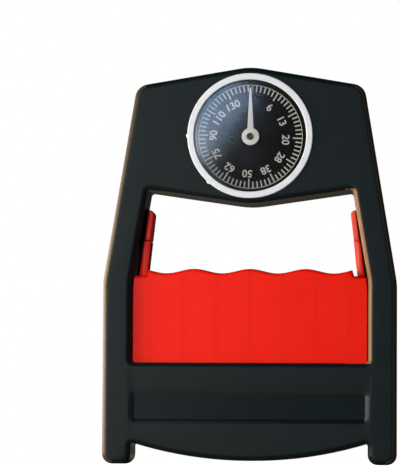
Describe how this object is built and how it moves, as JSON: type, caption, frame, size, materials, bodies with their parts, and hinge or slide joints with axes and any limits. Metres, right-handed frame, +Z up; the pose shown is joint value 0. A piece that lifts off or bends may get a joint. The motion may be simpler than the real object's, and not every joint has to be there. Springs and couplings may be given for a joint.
{
  "type": "hand dynamometer",
  "caption": "Squeeze-grip hand dynamometer: a sprung grip in a hollow case pulls a rack down, which turns the pointer of a round dial.",
  "frame": {"origin": "middle of the footprint, on the plane that the two feet stand on", "axes": "+Z up from the feet to the head, -Y out of the dial, +X to the right as the dial is read"},
  "size_m": [0.1108, 0.026, 0.15],
  "materials": {
    "black_abs": "fine matt texture",
    "red_abs": "satin",
    "white_abs": "satin",
    "clear_acrylic": "polished",
    "dial_black": "printed black",
    "zinc_plated_steel": "zinc plated",
    "spring_steel": "oiled wire",
    "brass": "machined",
    "nylon": "natural"
  },
  "bodies": {
    "case": {"front_shell": "black_abs", "rear_shell": "black_abs", "case_screw_1": "zinc_plated_steel", "case_screw_2": "zinc_plated_steel", "case_screw_3": "zinc_plated_steel", "case_screw_4": "zinc_plated_steel", "case_screw_5": "zinc_plated_steel", "case_screw_6": "zinc_plated_steel", "bezel_ring": "white_abs", "dial_lens": "clear_acrylic", "dial_spacer": "dial_black", "dial_plate": "dial_black", "movement_plate": "zinc_plated_steel", "movement_screw_left": "zinc_plated_steel", "movement_screw_right": "zinc_plated_steel", "arbor_bush": "brass", "rack_guide": "nylon", "spring_plate": "zinc_plated_steel", "spring_post_left": "zinc_plated_steel", "spring_post_right": "zinc_plated_steel", "main_spring_left": "spring_steel", "main_spring_right": "spring_steel"},
    "grip": {"grip_body": "red_abs", "arm_upper_left": "red_abs", "arm_upper_right": "red_abs", "arm_pin_left": "zinc_plated_steel", "arm_pin_right": "zinc_plated_steel", "yoke": "zinc_plated_steel", "yoke_screw_left": "zinc_plated_steel", "yoke_screw_right": "zinc_plated_steel", "rack": "brass", "rack_rivet_lower": "zinc_plated_steel", "rack_rivet_upper": "zinc_plated_steel", "spring_washer_left": "zinc_plated_steel", "spring_washer_right": "zinc_plated_steel"},
    "pointer": {"pointer": "white_abs", "arbor": "zinc_plated_steel", "pinion": "brass"}
  },
  "joints": [
    {"name": "grip_slide", "type": "slide", "parent": "case", "child": "grip", "axis": [0, 0, -1], "range_m": [0, 0.0144], "stiffness_N_per_m": 20000, "springref_m": -0.0002, "deforming": ["main_spring_left", "main_spring_right"]},
    {"name": "pointer_spin", "type": "hinge", "parent": "case", "child": "pointer", "pos_m": [0, 0, 0.1239], "axis": [0, 1, 0], "range_deg": [0, 331]}
  ],
  "couplings": [
    {"joint": "pointer_spin", "follows": "grip_slide", "rad_per_m": 400}
  ]
}
